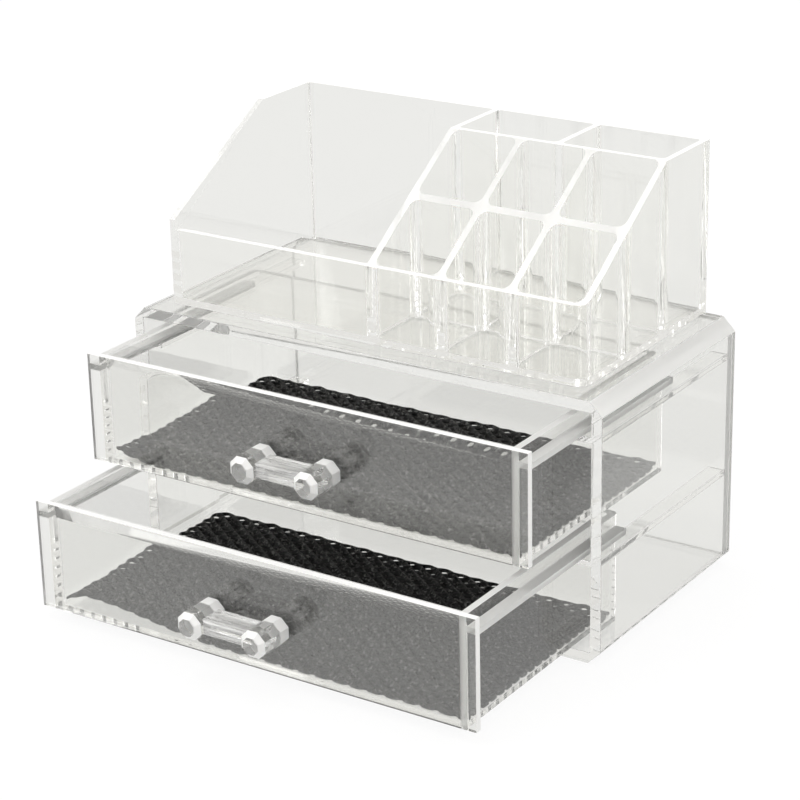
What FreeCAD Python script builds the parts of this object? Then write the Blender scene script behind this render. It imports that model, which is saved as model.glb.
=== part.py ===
"""Clear two-drawer vanity organizer with a lift-off compartment tray.

Millimetres, +Z up, -Y is the drawer side. The origin is the centre of the cabinet's underside.
"""
import FreeCAD
import Part

import math
import os

from FreeCAD import Vector

# Cabinet: a thick clear sleeve, open at the front, with a back panel set into its rear end
cabinet_width = 238.0
cabinet_depth = 118.0
cabinet_height = 116.5
cabinet_wall = 5.0
cabinet_chamfer = 6.0
back_panel_thickness = 4.0
bond_gap = 0.05

# Drawers: a moulded tub that hangs on the cabinet's rails by two side ribs, behind an overlay front
drawer_wall = 3.2
drawer_front_wall = 2.8
drawer_front_lip = 0.5
drawer_front_bevel = 7.0
drawer_floor = 1.5
drawer_corner_radius = 3.0
drawer_inner_radius = 1.6
rib_width = 5.2
rib_thickness = 2.6
rib_below_rim = 5.0
rail_thickness = 2.6
rail_to_drawer_gap = 1.0
slide_clearance = 0.3
closed_rear_gap = 0.8
lower_drawer_out = 79.0
upper_drawer_out = 39.6

# Drawer fronts
front_thickness = 3.2
front_side_gap = 3.6
front_floor_gap = 0.4
front_between_gap = 5.2
front_top_gap = 2.6
box_below_front = 0.1

# Handles: a bar between two faceted knobs, with pegs that are bonded into the front
knob_spacing = 32.2
knob_across_flats = 11.8
knob_length = 19.0
knob_front_chamfer = 2.2
knob_rear_chamfer = 0.8
bar_depth = 12.4
bar_height = 6.8
bar_chamfer = 0.8
bar_from_front = 3.8
handle_below_centre = 3.5
peg_diameter = 5.0
peg_length = 1.6
socket_depth = 1.8
peg_clearance = 0.1

# Open foam mats, cut to the drawer floors
mat_thickness = 2.2
mat_edge_gap = 0.6
mat_lift = 0.2
mat_margin = 3.4
mat_columns = 22
mat_rows = 12
mat_strand = 2.8

# Compartment tray
tray_side_inset = 8.5
tray_front_setback = 10.8
tray_rear_setback = 0.2
tray_seat_gap = 0.2
tray_floor = 2.6
tray_wall = 2.6
tray_back_height = 77.7
tray_front_height = 34.6
tray_left_front_height = 39.0
tray_bay_depth = 33.5
tray_front_corner_radius = 6.0
tray_slot_columns = 3
tray_slot_rows = 2
tray_rear_bays = 2
slot_corner_radius = 3.6
bin_corner_radius = 1.0
bay_corner_radius = 2.2
pocket_draft = 0.5

# Places that follow from the sizes above
y_front = -cabinet_depth / 2
y_back = cabinet_depth / 2
opening_height = cabinet_height - 2 * cabinet_wall
front_height = (opening_height - front_floor_gap - front_between_gap - front_top_gap) / 2
front_half_width = cabinet_width / 2 - cabinet_wall - front_side_gap
drawer_half_width = front_half_width - rib_width
z_lower_front = cabinet_wall + front_floor_gap
z_upper_front = z_lower_front + front_height + front_between_gap
box_length = cabinet_depth - back_panel_thickness - closed_rear_gap
box_height = front_height + box_below_front
rail_inner_x = drawer_half_width + rail_to_drawer_gap
tray_width = cabinet_width - 2 * (cabinet_chamfer + tray_side_inset)
tray_depth = cabinet_depth - tray_front_setback - tray_rear_setback
tray_slope_depth = tray_depth - tray_bay_depth - 2 * tray_wall
z_tray = cabinet_height + tray_seat_gap

os.makedirs("parts", exist_ok=True)


def block(x0, x1, y0, y1, z0, z1):
    """A rectangular solid between two corners."""
    return Part.makeBox(x1 - x0, y1 - y0, z1 - z0, Vector(x0, y0, z0))


def prism_along(points, travel):
    """A solid swept straight along a vector from a closed outline of points."""
    outline = Part.makePolygon(points + points[:1])
    return Part.Face(outline).extrude(travel)


def rounded_outline(x0, x1, y0, y1, z, radius):
    """A closed rectangular wire with round corners in a level plane."""
    reach = radius * (1 - math.sqrt(0.5))
    start = [
        (Vector(x0 + radius, y0, z), Vector(x1 - radius, y0, z)),
        (Vector(x1, y0 + radius, z), Vector(x1, y1 - radius, z)),
        (Vector(x1 - radius, y1, z), Vector(x0 + radius, y1, z)),
        (Vector(x0, y1 - radius, z), Vector(x0, y0 + radius, z)),
    ]
    middles = [
        Vector(x1 - reach, y0 + reach, z),
        Vector(x1 - reach, y1 - reach, z),
        Vector(x0 + reach, y1 - reach, z),
        Vector(x0 + reach, y0 + reach, z),
    ]
    edges = []
    for side in range(4):
        edges.append(Part.LineSegment(*start[side]).toShape())
        following = start[(side + 1) % 4][0]
        edges.append(Part.Arc(start[side][1], middles[side], following).toShape())
    return Part.Wire(edges)


def moulded_pocket(x0, x1, y0, y1, z_floor, z_top, radius):
    """The hollow of a moulded compartment, a little narrower at its floor than at its mouth."""
    draft = pocket_draft
    taper = Part.makeWedge(
        x0 + draft, 0, draft - y1, -y1, x0,
        x1 - draft, z_top - z_floor, -y0 - draft, -y0, x1,
    )
    taper.rotate(Vector(0, 0, 0), Vector(1, 0, 0), 90)
    taper.translate(Vector(0, 0, z_floor))
    corners = [edge for edge in taper.Edges if edge.BoundBox.ZLength > draft]
    return taper.makeFillet(radius, corners)


def drawer_rail(side, z_front):
    """A ledge on one side wall of the cabinet, just below the drawer's rib."""
    top = z_front + front_height - rib_below_rim - rib_thickness - slide_clearance
    wall_x = side * (cabinet_width / 2 - cabinet_wall)
    inner_x = side * rail_inner_x
    return block(
        min(wall_x, inner_x), max(wall_x, inner_x),
        y_front, y_back - back_panel_thickness - bond_gap,
        top - rail_thickness, top,
    )


def cabinet_sleeve():
    """The chamfered sleeve with its four rails, open at both ends."""
    half = cabinet_width / 2
    cut = cabinet_chamfer
    corners = [
        (half - cut, 0), (half, cut), (half, cabinet_height - cut), (half - cut, cabinet_height),
        (cut - half, cabinet_height), (-half, cabinet_height - cut), (-half, cut), (cut - half, 0),
    ]
    outline = [Vector(x, y_front, z) for x, z in corners]
    sleeve = prism_along(outline, Vector(0, cabinet_depth, 0))
    inner = half - cabinet_wall
    sleeve = sleeve.cut(
        block(-inner, inner, y_front, y_back, cabinet_wall, cabinet_height - cabinet_wall)
    )
    rails = [drawer_rail(side, z) for side in (-1, 1) for z in (z_lower_front, z_upper_front)]
    return sleeve.fuse(rails).removeSplitter()


def cabinet_back_panel():
    """The plate that closes the sleeve's rear end, flush with it."""
    inner = cabinet_width / 2 - cabinet_wall - bond_gap
    low = cabinet_wall + bond_gap
    return block(-inner, inner, y_back - back_panel_thickness, y_back, low, cabinet_height - low)


def drawer_box(y_panel, z_front):
    """A moulded tub with a rib along each side and a front wall that is bevelled to a thin lip."""
    z0 = z_front - box_below_front
    z1 = z0 + box_height
    y1 = y_panel + box_length
    box = block(-drawer_half_width, drawer_half_width, y_panel, y1, z0, z1)
    rear_edges = [
        edge for edge in box.Edges
        if edge.BoundBox.ZLength > box_height / 2 and edge.BoundBox.YMin > y1 - drawer_wall
    ]
    box = box.makeFillet(drawer_corner_radius, rear_edges)
    inside_x = drawer_half_width - drawer_wall
    mouth = rounded_outline(
        -inside_x, inside_x, y_panel + drawer_front_wall, y1 - drawer_wall,
        z0 + drawer_floor, drawer_inner_radius,
    )
    hollow = Part.Face(mouth).extrude(Vector(0, 0, box_height))
    bevel = [
        Vector(-inside_x, y_panel + drawer_front_lip, z1),
        Vector(-inside_x, y_panel + drawer_front_wall + drawer_inner_radius, z1),
        Vector(-inside_x, y_panel + drawer_front_wall + drawer_inner_radius, z1 - drawer_front_bevel),
        Vector(-inside_x, y_panel + drawer_front_wall, z1 - drawer_front_bevel),
    ]
    box = box.cut([hollow, prism_along(bevel, Vector(2 * inside_x, 0, 0))])
    rib_top = z_front + front_height - rib_below_rim
    ribs = []
    for side in (-1, 1):
        root = side * (drawer_half_width - drawer_wall / 2)
        tip = side * front_half_width
        ribs.append(
            block(
                min(root, tip), max(root, tip), y_panel, y1 - drawer_corner_radius,
                rib_top - rib_thickness, rib_top,
            )
        )
    return box.fuse(ribs).removeSplitter()


def handle_height(z_front):
    """The level of the knobs' axes."""
    return z_front + front_height / 2 - handle_below_centre


def drawer_front(y_panel, z_front):
    """The flat overlay front, with a socket for each peg."""
    y1 = y_panel - bond_gap
    y0 = y_panel - front_thickness
    front = block(-front_half_width, front_half_width, y0, y1, z_front, z_front + front_height)
    for side in (-1, 1):
        place = Vector(side * knob_spacing / 2, y0, handle_height(z_front))
        hole = Part.makeCylinder(
            peg_diameter / 2 + peg_clearance, socket_depth, place, Vector(0, 1, 0)
        )
        front = front.cut(hole)
    return front


def octagon(x, y, z, across):
    """A closed eight-sided wire that stands across the Y axis, with a level flat on top."""
    corner = across / 2 / math.cos(math.pi / 8)
    points = []
    for step in range(9):
        angle = math.pi / 8 + step * math.pi / 4
        points.append(Vector(x + corner * math.cos(angle), y, z + corner * math.sin(angle)))
    return Part.makePolygon(points)


def handle(y_panel, z_front):
    """Two faceted knobs, their bar and their pegs, moulded in one."""
    y_seat = y_panel - front_thickness - bond_gap
    y_tip = y_seat - knob_length
    z = handle_height(z_front)
    pieces = []
    for side in (-1, 1):
        x = side * knob_spacing / 2
        knob = Part.Face(octagon(x, y_tip, z, knob_across_flats)).extrude(Vector(0, knob_length, 0))
        middle = y_tip + knob_length / 2
        nose = [edge for edge in knob.Edges if edge.BoundBox.YMax < middle]
        knob = knob.makeChamfer(knob_front_chamfer, nose)
        heel = [edge for edge in knob.Edges if edge.BoundBox.YMin > middle]
        pieces.append(knob.makeChamfer(knob_rear_chamfer, heel))
        pieces.append(
            Part.makeCylinder(peg_diameter / 2, peg_length, Vector(x, y_seat, z), Vector(0, 1, 0))
        )
    y0 = y_tip + bar_from_front
    y1 = y0 + bar_depth
    low = z - bar_height / 2
    high = z + bar_height / 2
    section = [
        (y0 + bar_chamfer, low), (y1 - bar_chamfer, low), (y1, low + bar_chamfer),
        (y1, high - bar_chamfer), (y1 - bar_chamfer, high), (y0 + bar_chamfer, high),
        (y0, high - bar_chamfer), (y0, low + bar_chamfer),
    ]
    outline = [Vector(-knob_spacing / 2, y, level) for y, level in section]
    bar = prism_along(outline, Vector(knob_spacing, 0, 0))
    return bar.fuse(pieces).removeSplitter()


def foam_mat(y_panel, z_front):
    """An open mat of lozenge meshes, cut a little smaller than the drawer floor."""
    half_x = drawer_half_width - drawer_wall - mat_edge_gap
    y0 = y_panel + drawer_front_wall + mat_edge_gap
    y1 = y_panel + box_length - drawer_wall - mat_edge_gap
    z0 = z_front - box_below_front + drawer_floor + mat_lift
    step_x = 2 * (half_x - mat_margin) / mat_columns
    step_y = (y1 - y0 - 2 * mat_margin) / mat_rows
    reach_x = (step_x - mat_strand) / 2
    reach_y = (step_y - mat_strand) / 2
    outline = [
        Vector(-half_x, y0, z0), Vector(half_x, y0, z0),
        Vector(half_x, y1, z0), Vector(-half_x, y1, z0),
    ]
    wires = [Part.makePolygon(outline + outline[:1])]
    for row in range(mat_rows):
        y = y0 + mat_margin + (row + 0.5) * step_y
        shift = 0.5 if row % 2 else 0.0
        for column in range(mat_columns - row % 2):
            x = -half_x + mat_margin + (column + 0.5 + shift) * step_x
            mesh = [
                Vector(x - reach_x, y, z0), Vector(x, y + reach_y, z0),
                Vector(x + reach_x, y, z0), Vector(x, y - reach_y, z0),
            ]
            wires.append(Part.makePolygon(mesh + mesh[:1]))
    return Part.Face(wires, "Part::FaceMakerBullseye").extrude(Vector(0, 0, mat_thickness))


def compartment_tray():
    """One moulding: a bin on the left, sloping slots on the right and bays behind them."""
    half = tray_width / 2
    y0 = y_front + tray_front_setback
    y1 = y0 + tray_depth
    y_slope = y0 + tray_slope_depth
    z0 = z_tray
    z_floor = z0 + tray_floor
    z_top = z0 + tray_back_height
    z_sill = z0 + tray_front_height
    side = [
        Vector(-half, y0, z0), Vector(-half, y1, z0), Vector(-half, y1, z_top),
        Vector(-half, y_slope, z_top), Vector(-half, y0 + tray_wall, z_sill), Vector(-half, y0, z_sill),
    ]
    body = prism_along(side, Vector(tray_width, 0, 0))
    corner = [
        edge for edge in body.Edges
        if edge.BoundBox.ZLength > tray_front_height / 2
        and edge.BoundBox.XMin > half - tray_wall and edge.BoundBox.YMax < y0 + tray_wall
    ]
    body = body.makeFillet(tray_front_corner_radius, corner)
    left_side = [
        Vector(-half, y0, z0), Vector(-half, y_slope, z0), Vector(-half, y_slope, z_top),
        Vector(-half, y0, z0 + tray_left_front_height),
    ]
    body = body.fuse(prism_along(left_side, Vector(tray_wall, 0, 0)))

    z_mouth = z_top + tray_wall
    x_bin = -tray_wall / 2
    hollows = [
        moulded_pocket(
            -half + tray_wall, x_bin, y0 + tray_wall, y1 - tray_wall, z_floor, z_mouth, bin_corner_radius
        )
    ]
    x_start = tray_wall / 2
    span_x = half - tray_wall - x_start
    slot_x = (span_x - (tray_slot_columns - 1) * tray_wall) / tray_slot_columns
    span_y = y_slope - y0 - tray_wall
    slot_y = (span_y - (tray_slot_rows - 1) * tray_wall) / tray_slot_rows
    for column in range(tray_slot_columns):
        for row in range(tray_slot_rows):
            x = x_start + column * (slot_x + tray_wall)
            y = y0 + tray_wall + row * (slot_y + tray_wall)
            hollows.append(
                moulded_pocket(x, x + slot_x, y, y + slot_y, z_floor, z_mouth, slot_corner_radius)
            )
    bay_x = (span_x - (tray_rear_bays - 1) * tray_wall) / tray_rear_bays
    for bay in range(tray_rear_bays):
        x = x_start + bay * (bay_x + tray_wall)
        hollows.append(
            moulded_pocket(
                x, x + bay_x, y_slope + tray_wall, y1 - tray_wall, z_floor, z_mouth, bay_corner_radius
            )
        )
    return body.cut(hollows).removeSplitter()


nodes = {
    "cabinet_sleeve": cabinet_sleeve(),
    "cabinet_back_panel": cabinet_back_panel(),
    "compartment_tray": compartment_tray(),
}
for name, z_front, pulled_out in (
    ("lower", z_lower_front, lower_drawer_out),
    ("upper", z_upper_front, upper_drawer_out),
):
    y_panel = y_front - slide_clearance - pulled_out
    nodes[name + "_drawer_box"] = drawer_box(y_panel, z_front)
    nodes[name + "_drawer_front"] = drawer_front(y_panel, z_front)
    nodes[name + "_drawer_handle"] = handle(y_panel, z_front)
    nodes[name + "_drawer_mat"] = foam_mat(y_panel, z_front)

for node, shape in nodes.items():
    shape.exportStep(os.path.join("parts", node + ".step"))
    print(node, len(shape.Solids), "solid", shape.isValid(), round(shape.Volume / 1000, 2), "cm3")
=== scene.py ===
import math

import bpy
from mathutils import Matrix, Vector, noise


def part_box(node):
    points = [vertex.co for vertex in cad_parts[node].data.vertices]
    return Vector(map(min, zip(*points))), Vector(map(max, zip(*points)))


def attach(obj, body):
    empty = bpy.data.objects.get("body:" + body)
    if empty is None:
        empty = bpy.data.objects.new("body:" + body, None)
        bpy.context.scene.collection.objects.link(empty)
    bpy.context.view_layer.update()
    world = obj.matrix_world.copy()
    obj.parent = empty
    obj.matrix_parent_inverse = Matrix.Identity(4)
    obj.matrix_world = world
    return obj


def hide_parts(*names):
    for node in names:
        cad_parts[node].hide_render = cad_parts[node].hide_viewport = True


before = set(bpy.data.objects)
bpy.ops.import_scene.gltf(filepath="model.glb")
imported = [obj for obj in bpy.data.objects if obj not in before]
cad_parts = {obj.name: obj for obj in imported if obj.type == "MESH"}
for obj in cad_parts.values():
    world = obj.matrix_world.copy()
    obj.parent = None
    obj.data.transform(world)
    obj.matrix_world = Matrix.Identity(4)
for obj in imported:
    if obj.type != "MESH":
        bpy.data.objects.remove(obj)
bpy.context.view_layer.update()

# Cabinet: a thick-walled sleeve with ledges for the drawers, and the plate that closes its rear end.
# Both are moulded from clear polystyrene. The plate is bonded into the sleeve, so a fine line shows
# round it.


def linear(hex_colour):
    """The linear colour of an sRGB hex value."""
    channels = [int(hex_colour[i:i + 2], 16) / 255 for i in (0, 2, 4)]
    return [c / 12.92 if c <= 0.04045 else ((c + 0.055) / 1.055) ** 2.4 for c in channels] + [1.0]


def add_node(tree, kind, sockets=None, links=None, **settings):
    """Adds one node with its settings, its socket values and the links into its inputs."""
    made = tree.nodes.new(kind)
    for key, value in settings.items():
        setattr(made, key, value)
    for key, value in (sockets or {}).items():
        made.inputs[key].default_value = value
    for key, source in (links or {}).items():
        tree.links.new(source, made.inputs[key])
    return made


def new_material(name):
    """An empty node material and its tree."""
    material = bpy.data.materials.new(name)
    material.use_nodes = True
    material.node_tree.nodes.clear()
    return material, material.node_tree


# Crystal polystyrene, injection moulded in polished steel. It is water-clear and mirrors strongly at its
# edges. Handling has left a faint haze on it, in patches about 22 mm across.
crystal, tree = new_material("crystal_polystyrene")
place = add_node(tree, "ShaderNodeTexCoord")
haze = add_node(tree, "ShaderNodeTexNoise", {"Scale": 45.0, "Detail": 3.0, "Roughness": 0.6},
                {"Vector": place.outputs["Object"]})
haze_level = add_node(tree, "ShaderNodeMapRange",
                      {"From Min": 0.35, "From Max": 0.8, "To Min": 0.0, "To Max": 0.035},
                      {"Value": haze.outputs["Fac"]})
plastic = add_node(tree, "ShaderNodeBsdfPrincipled",
                   {"Base Color": linear("FEFEFD"), "IOR": 1.59, "Transmission Weight": 1.0},
                   {"Roughness": haze_level.outputs["Result"]})
add_node(tree, "ShaderNodeOutputMaterial", None, {"Surface": plastic.outputs["BSDF"]})


def dulled(name, colour, clearness):
    """The same plastic with a satin face, whose fine scuffs are about half a millimetre apart."""
    made, tree = new_material(name)
    place = add_node(tree, "ShaderNodeTexCoord")
    scuffs = add_node(tree, "ShaderNodeTexNoise", {"Scale": 2000.0, "Detail": 2.0},
                      {"Vector": place.outputs["Object"]})
    dullness = add_node(tree, "ShaderNodeMapRange",
                        {"From Min": 0.3, "From Max": 0.7, "To Min": 0.3, "To Max": 0.42},
                        {"Value": scuffs.outputs["Fac"]})
    plastic = add_node(tree, "ShaderNodeBsdfPrincipled",
                       {"Base Color": linear(colour), "IOR": 1.59, "Transmission Weight": clearness},
                       {"Roughness": dullness.outputs["Result"]})
    add_node(tree, "ShaderNodeOutputMaterial", None, {"Surface": plastic.outputs["BSDF"]})
    return made


# Where a rim was trimmed or a chamfer was sawn, the satin face scatters the light that is piped up inside
# the wall, so it glows white.
satin = dulled("trimmed_polystyrene_rim", "F2F2F1", 0.5)


def mould(name, node, body, edge, finish, duller=(satin,), scores=()):
    """A moulded piece: its solid with coplanar facets joined and its sharp edges eased by a small radius.

    By a face's place in the box and its normal, finish tells which face is polished (0) and which has one
    of the duller finishes (from 1). A score is a point and a normal of a plane that divides faces for that.
    """
    bpy.ops.object.select_all(action="DESELECT")
    piece = bpy.data.objects.new(name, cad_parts[node].data.copy())
    bpy.context.scene.collection.objects.link(piece)
    bpy.context.view_layer.objects.active = piece
    piece.select_set(True)
    bpy.ops.object.mode_set(mode="EDIT")
    bpy.ops.mesh.select_all(action="SELECT")
    bpy.ops.mesh.remove_doubles(threshold=0.000002)
    bpy.ops.mesh.customdata_custom_splitnormals_clear()
    bpy.ops.mesh.mark_sharp(clear=True)
    bpy.ops.mesh.dissolve_limited(angle_limit=math.radians(0.3))
    for point, normal in scores:
        bpy.ops.mesh.select_all(action="SELECT")
        bpy.ops.mesh.bisect(plane_co=point, plane_no=normal)
    bpy.ops.object.mode_set(mode="OBJECT")
    bpy.ops.object.shade_smooth()
    bevel = piece.modifiers.new("eased_edges", "BEVEL")
    bevel.width = edge
    bevel.segments = 2
    bevel.limit_method = "ANGLE"
    bevel.angle_limit = math.radians(20)
    bpy.ops.object.modifier_apply(modifier=bevel.name)
    flats = piece.modifiers.new("true_flats", "WEIGHTED_NORMAL")
    flats.weight = 100
    bpy.ops.object.modifier_apply(modifier=flats.name)
    piece.data.materials.clear()
    for material in (crystal, *duller):
        piece.data.materials.append(material)
    low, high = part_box(node)
    for face in piece.data.polygons:
        face.material_index = int(finish(face.center - low, high - face.center, face.normal))
    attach(piece, body)
    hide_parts(node)


def sleeve_chamfers(above, below, normal):
    """The two long chamfers at the top."""
    return abs(normal.x) > 0.5 and normal.z > 0.5


def plate_rim(above, below, normal):
    """The narrow faces round the back plate, which the bond leaves dull."""
    return abs(normal.y) < 0.5


mould("sleeve", "cabinet_sleeve", "cabinet", 0.0004, sleeve_chamfers)
mould("back_plate", "cabinet_back_panel", "cabinet", 0.0002, plate_rim)

# Drawers: each is a tub moulded from clear polystyrene that hangs on the ledges by its side ribs. Its front
# wall is bevelled inside to a thin lip. A flat plate is bonded over that wall, and a faceted double-knob
# handle, moulded in one, is bonded to the plate.
rib_width, tub_wall = 0.0052, 0.0032


def tub_dull(above, below, normal):
    """The level rim, the side ribs, and the end of the right wall, which is bonded to the plate."""
    rim = below.z < 0.0004 and normal.z > 0.9
    wall_end = above.y < 0.0003 and normal.y < -0.9 and below.x < rib_width + tub_wall
    return rim or wall_end or min(above.x, below.x) < rib_width - 0.0003


def plate_edge(above, below, normal):
    """The plate's top edge and its two ends."""
    return abs(normal.x) > 0.5 or normal.z > 0.5


# Sawn or left as the tool made them, the plate's edges and the knobs' facets are frosted, and look almost
# white.
frosted = dulled("frosted_polystyrene", "FFFFFF", 0.22)

# The handle's bar kept the flow lines of the mould along it, so it is clear with milky streaks, each about
# 25 mm long and 1.4 mm wide.
streaked, tree = new_material("streaked_polystyrene")
place = add_node(tree, "ShaderNodeTexCoord")
along = add_node(tree, "ShaderNodeMapping", {"Scale": (40.0, 700.0, 700.0)},
                 {"Vector": place.outputs["Object"]})
flow = add_node(tree, "ShaderNodeTexNoise", {"Scale": 1.0, "Detail": 2.0},
                {"Vector": along.outputs["Vector"]})
clear = add_node(tree, "ShaderNodeMapRange",
                 {"From Min": 0.35, "From Max": 0.65, "To Min": 0.5, "To Max": 0.98},
                 {"Value": flow.outputs["Fac"]})
streaks = add_node(tree, "ShaderNodeBsdfPrincipled",
                   {"Base Color": linear("FAFAFA"), "IOR": 1.59, "Roughness": 0.08},
                   {"Transmission Weight": clear.outputs["Result"]})
add_node(tree, "ShaderNodeOutputMaterial", None, {"Surface": streaks.outputs["BSDF"]})
knob_across, knob_nose, knob_heel, peg_length = 0.0118, 0.0022, 0.0065, 0.0016


def handle_finish(above, below, normal):
    """Streaked on the bar, frosted round each knob's nose and on its heel, polished elsewhere."""
    if above.x > knob_across and below.x > knob_across:
        return 2
    nose = above.y < knob_nose and -0.9 < normal.y < -0.3
    return nose or below.y < peg_length + knob_heel


for level in ("lower", "upper"):
    body = level + "_drawer"
    wall_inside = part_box(body + "_box")[1].x - rib_width - tub_wall
    mould(level + "_tub", body + "_box", body, 0.0002, tub_dull, (satin,),
          [((wall_inside, 0, 0), (1, 0, 0))])
    mould(level + "_front", body + "_front", body, 0.0002, plate_edge, (frosted,))
    heel_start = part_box(body + "_handle")[1].y - peg_length - knob_heel
    mould(level + "_handle", body + "_handle", body, 0.0003, handle_finish,
          (frosted, streaked), [((0, heel_start, 0), (0, 1, 0))])

# Mats: a net of black PVC foam, laid loose on each drawer floor. The foam was dipped on a mesh of threads,
# so the strands are lumpy, the crossings swell, and the left and rear edges end in open loops that curl up.

# The foam's skin is black and half matt. Paler spots about 1.5 mm apart on it are painted glints: lighter
# colour that stands in for the highlights the lumpy strands catch.
foam, tree = new_material("black_pvc_foam")
place = add_node(tree, "ShaderNodeTexCoord")
cells_and_glints = add_node(tree, "ShaderNodeTexNoise", {"Scale": 650.0, "Detail": 2.0},
                 {"Vector": place.outputs["Object"]})
# Painted highlight: where the noise is high, the colour turns pale grey in place of the glints on the
# strands.
painted_glints = add_node(tree, "ShaderNodeMapRange", {"From Min": 0.52, "From Max": 0.72},
                  {"Value": cells_and_glints.outputs["Fac"]}, interpolation_type="SMOOTHSTEP")
shade = add_node(tree, "ShaderNodeMixRGB", {"Color1": linear("0F0F0F"), "Color2": linear("787876")},
                 {"Fac": painted_glints.outputs["Result"]})
pores = add_node(tree, "ShaderNodeBump", {"Strength": 0.6, "Distance": 0.0006},
                 {"Height": cells_and_glints.outputs["Fac"]})
skin = add_node(tree, "ShaderNodeBsdfPrincipled", {"Roughness": 0.5, "IOR": 1.5},
                {"Base Color": shade.outputs["Color"], "Normal": pores.outputs["Normal"]})
add_node(tree, "ShaderNodeOutputMaterial", None, {"Surface": skin.outputs["BSDF"]})

loops_across, loops_back, spare_cells = 24, 18, 6
strand_width, strand_height, loop_width, loop_shrink = 0.0031, 0.0026, 0.0013, 0.18
full_girth_at, underside = 0.8, 0.12
loop_jitter, sway, wave_height, lump_height = 0.0008, 0.0002, 0.0003, 0.00015
rear_curl, rear_curl_width, left_curl, left_curl_width = 0.0022, 0.009, 0.0016, 0.007


def foam_net(name, node, body, lift):
    """A net of crossing strands with looped edges, as large as the node."""
    low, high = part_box(node)
    middle = (low + high) / 2
    pitch_x = (high.x - low.x - loop_width) / (loops_across - 2 * loop_shrink)
    pitch_y = (high.y - low.y - loop_width) / (loops_back - 2 * loop_shrink)
    end_x, end_y = loops_across * pitch_x / 2, loops_back * pitch_y / 2
    bpy.ops.object.select_all(action="DESELECT")
    across = loops_across + loops_back + spare_cells
    bpy.ops.mesh.primitive_grid_add(x_subdivisions=across, y_subdivisions=across, size=across)
    piece = bpy.context.object
    piece.name = name
    turn = Matrix.Rotation(math.radians(45), 4, "Z")
    stretch = Matrix.Diagonal((pitch_x / math.sqrt(2), pitch_y / math.sqrt(2), 1, 1))
    piece.data.transform(stretch @ turn)
    bpy.ops.object.mode_set(mode="EDIT")
    bpy.ops.mesh.select_mode(type="VERT")
    bpy.ops.mesh.select_all(action="DESELECT")
    bpy.ops.object.mode_set(mode="OBJECT")
    for vertex in piece.data.vertices:
        x, y = vertex.co.x, vertex.co.y
        past_loops = x < -end_x - pitch_x / 4 or y > end_y + pitch_y / 4
        vertex.select = past_loops or x > end_x + 2 * pitch_x or y < -end_y - 2 * pitch_y
    bpy.ops.object.mode_set(mode="EDIT")
    bpy.ops.mesh.delete(type="VERT")
    bpy.ops.mesh.select_all(action="SELECT")
    bpy.ops.mesh.delete_loose(use_verts=True, use_edges=True, use_faces=False)
    bpy.ops.object.mode_set(mode="OBJECT")
    girth = piece.vertex_groups.new(name="girth")
    for vertex in piece.data.vertices:
        inside = min((vertex.co.x + end_x) / pitch_x, (end_y - vertex.co.y) / pitch_y)
        slim = loop_width / strand_width
        girth.add([vertex.index], min(1.0, slim + (1 - slim) * max(0.0, inside / full_girth_at)), "REPLACE")
        spot = vertex.co * 160.0
        draws = [noise.noise(spot + Vector((0, 0, far))) for far in (3.5, 13.5, 23.5)]
        jitter = Vector(draws) * loop_jitter
        if vertex.co.x < pitch_x / 4 - end_x:
            vertex.co += Vector((loop_shrink * pitch_x, jitter.y, jitter.z))
        if vertex.co.y > end_y - pitch_y / 4:
            vertex.co += Vector((jitter.x, -loop_shrink * pitch_y, jitter.z))
    wires = piece.modifiers.new("strands", "WIREFRAME")
    wires.thickness = strand_width
    wires.use_even_offset = True
    wires.use_boundary = True
    wires.vertex_group = girth.name
    wires.thickness_vertex_group = 0.0
    bpy.ops.object.modifier_apply(modifier=wires.name)
    piece.vertex_groups.clear()
    rounding = piece.modifiers.new("rounding", "SUBSURF")
    rounding.levels = rounding.render_levels = 1
    bpy.ops.object.modifier_apply(modifier=rounding.name)
    tall = max(vertex.co.z for vertex in piece.data.vertices)
    for vertex in piece.data.vertices:
        up = vertex.co.z / tall
        vertex.co.z = strand_height * (underside + (1 - underside if up > 0 else underside) * up)
    piece.data.transform(Matrix.Translation((middle.x, middle.y, low.z)))
    bpy.ops.object.mode_set(mode="EDIT")
    for point, normal in (((high.x + 0.0002, 0, 0), (1, 0, 0)), ((0, low.y, 0), (0, -1, 0))):
        bpy.ops.mesh.select_all(action="SELECT")
        bpy.ops.mesh.bisect(plane_co=point, plane_no=normal, clear_outer=True, use_fill=True)
    bpy.ops.object.mode_set(mode="OBJECT")
    for vertex in piece.data.vertices:
        spot = vertex.co
        wave = noise.noise(spot * 30.0)
        lump = noise.noise(spot * 420.0)
        rear = max(0.0, (spot.y - high.y) / rear_curl_width + 1)
        left = max(0.0, (low.x - spot.x) / left_curl_width + 1)
        vertex.co = spot + Vector((
            sway * noise.noise(spot * 130.0), 0,
            wave_height * wave + lump_height * lump + rear_curl * rear * rear + left_curl * left * left
            + lift(spot, low, high)
        ))
    bpy.ops.object.shade_smooth()
    piece.data.materials.append(foam)
    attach(piece, body)
    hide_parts(node)


def lifts_at_corner(spot, low, high):
    """The front left corner of the upper mat stands up a little."""
    height, reach_right, reach_back = 0.003, 0.02, 0.03
    along = max(0.0, 1 - (spot.x - low.x) / reach_right)
    back = max(0.0, 1 - (spot.y - low.y) / reach_back)
    return height * along * back


def buckles_at_corner(spot, low, high):
    """The front left of the lower mat has buckled up into a low arch."""
    height, rise_width, fall_start, fall_width, reach_back = 0.006, 0.014, 1.2, 0.07, 0.045
    along = max(0.0, spot.x - low.x)
    rise = min(1.0, along / rise_width)
    fall = min(1.0, max(0.0, fall_start - along / fall_width))
    back = max(0.0, 1 - (spot.y - low.y) / reach_back)
    return height * rise * (2 - rise) * fall * fall * (3 - 2 * fall) * back * back


foam_net("lower_mat", "lower_drawer_mat", "lower_drawer", buckles_at_corner)
foam_net("upper_mat", "upper_drawer_mat", "upper_drawer", lifts_at_corner)

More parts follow.
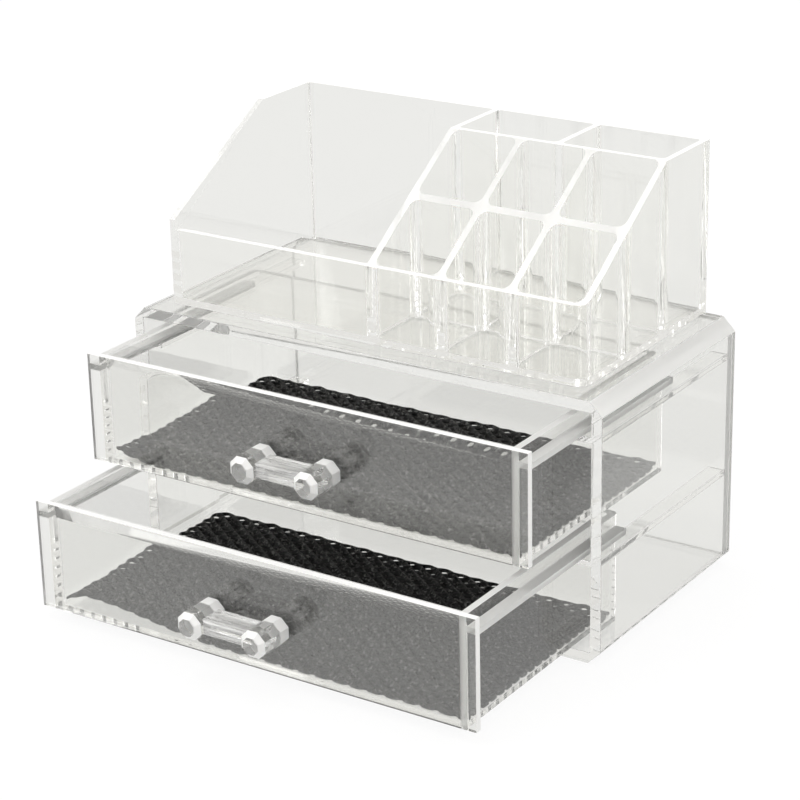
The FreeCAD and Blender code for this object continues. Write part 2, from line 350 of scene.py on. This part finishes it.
# Tray: one moulding of clear polystyrene that stands loose on the cabinet. It has a deep bin, two rows of
# sloping slots with round corners, and two tall bays behind them.
floor_zone = 0.006


def tray_rim(above, below, normal):
    """Satin on the sloping tops of the tray's walls, frosted on the level ones; its floor is polished."""
    if normal.z < 0.25 or above.z < floor_zone:
        return 0
    return 2 if normal.z > 0.95 else 1


mould("tray", "compartment_tray", "tray", 0.0004, tray_rim, (satin, frosted))

# Studio: a pale paper sweep under the object, which is burnt out to white where it is seen straight on, and
# big soft lamps over and beside it.
bpy.ops.object.select_all(action="DESELECT")
bpy.ops.mesh.primitive_plane_add(size=12, location=(0, 0, -0.0003))
sweep = bpy.context.object
sweep.name = "sweep"
paper, tree = new_material("sweep_paper")
path = add_node(tree, "ShaderNodeLightPath")
matt = add_node(tree, "ShaderNodeBsdfDiffuse", {"Color": linear("505050")})
glow = add_node(tree, "ShaderNodeEmission", {"Color": linear("FBFBF9"), "Strength": 0.77})
lit = add_node(tree, "ShaderNodeAddShader", None, {0: matt.outputs["BSDF"], 1: glow.outputs["Emission"]})
white = add_node(tree, "ShaderNodeEmission", {"Color": linear("FFFFFF"), "Strength": 0.92})
burnt = add_node(tree, "ShaderNodeAddShader", None, {0: matt.outputs["BSDF"], 1: white.outputs["Emission"]})
seen = add_node(tree, "ShaderNodeMixShader", None,
                {0: path.outputs["Is Camera Ray"], 1: lit.outputs["Shader"], 2: burnt.outputs["Shader"]})
add_node(tree, "ShaderNodeOutputMaterial", None, {"Surface": seen.outputs["Shader"]})
sweep.data.materials.append(paper)

room = bpy.data.worlds.new("studio")
bpy.context.scene.world = room
room.use_nodes = True
tree = room.node_tree
tree.nodes.clear()
path = add_node(tree, "ShaderNodeLightPath")
place = add_node(tree, "ShaderNodeTexCoord")
height = add_node(tree, "ShaderNodeSeparateXYZ", None, {"Vector": place.outputs["Generated"]})
ceiling = add_node(tree, "ShaderNodeMapRange",
                   {"From Min": 0.45, "From Max": 0.8, "To Min": 0.98, "To Max": 1.5},
                   {"Value": height.outputs["Z"]}, interpolation_type="SMOOTHSTEP")
walls = add_node(tree, "ShaderNodeBackground", {"Color": linear("E8E7E4")},
                 {"Strength": ceiling.outputs["Result"]})
white = add_node(tree, "ShaderNodeBackground", {"Color": linear("FFFFFF"), "Strength": 1.1})
seen = add_node(tree, "ShaderNodeMixShader", None,
                {0: path.outputs["Is Camera Ray"], 1: walls.outputs["Background"],
                 2: white.outputs["Background"]})
add_node(tree, "ShaderNodeOutputWorld", None, {"Surface": seen.outputs["Shader"]})


def softbox(name, spot, aim, size, power):
    """A square area lamp at a spot, facing a point."""
    lamp = bpy.data.lights.new(name, "AREA")
    lamp.size = size
    lamp.energy = power
    holder = bpy.data.objects.new(name, lamp)
    holder.location = spot
    holder.rotation_euler = (Vector(aim) - Vector(spot)).to_track_quat("-Z", "Y").to_euler()
    bpy.context.scene.collection.objects.link(holder)


softbox("overhead", (-0.2, -0.2, 1.5), (0, 0, 0.05), 0.9, 6.0)
softbox("left_front", (-1.1, -0.9, 0.9), (0, 0, 0.08), 0.6, 3.0)
softbox("right_back", (1.2, 0.7, 0.9), (0, 0, 0.08), 0.6, 3.0)

# Camera: a long lens from the right of the drawers, a little above, as the photograph was taken.
azimuth, elevation, roll = math.radians(33.93), math.radians(21.39), math.radians(-1.29)
back = Vector((
    math.sin(azimuth) * math.cos(elevation), -math.cos(azimuth) * math.cos(elevation), math.sin(elevation)
))
right = Vector((math.cos(azimuth), math.sin(azimuth), 0))
up = back.cross(right)
right, up = math.cos(roll) * right + math.sin(roll) * up, math.cos(roll) * up - math.sin(roll) * right
lens = bpy.data.cameras.new("camera")
sensor_mm, focal_px, picture_px = 36, 2543.5, 800
lens.lens = sensor_mm * focal_px / picture_px
camera = bpy.data.objects.new("camera", lens)
aim, distance = Vector((-0.01781, 0.001, 0.07088)), 1.1413
stand = aim + back * distance
camera.matrix_world = Matrix((
    (right.x, up.x, back.x, stand.x), (right.y, up.y, back.y, stand.y), (right.z, up.z, back.z, stand.z),
    (0, 0, 0, 1),
))
bpy.context.scene.collection.objects.link(camera)
bpy.context.scene.camera = camera

scene = bpy.context.scene
scene.view_settings.view_transform = "Standard"
scene.cycles.max_bounces = 128
scene.cycles.transmission_bounces = 128
scene.cycles.glossy_bounces = 128
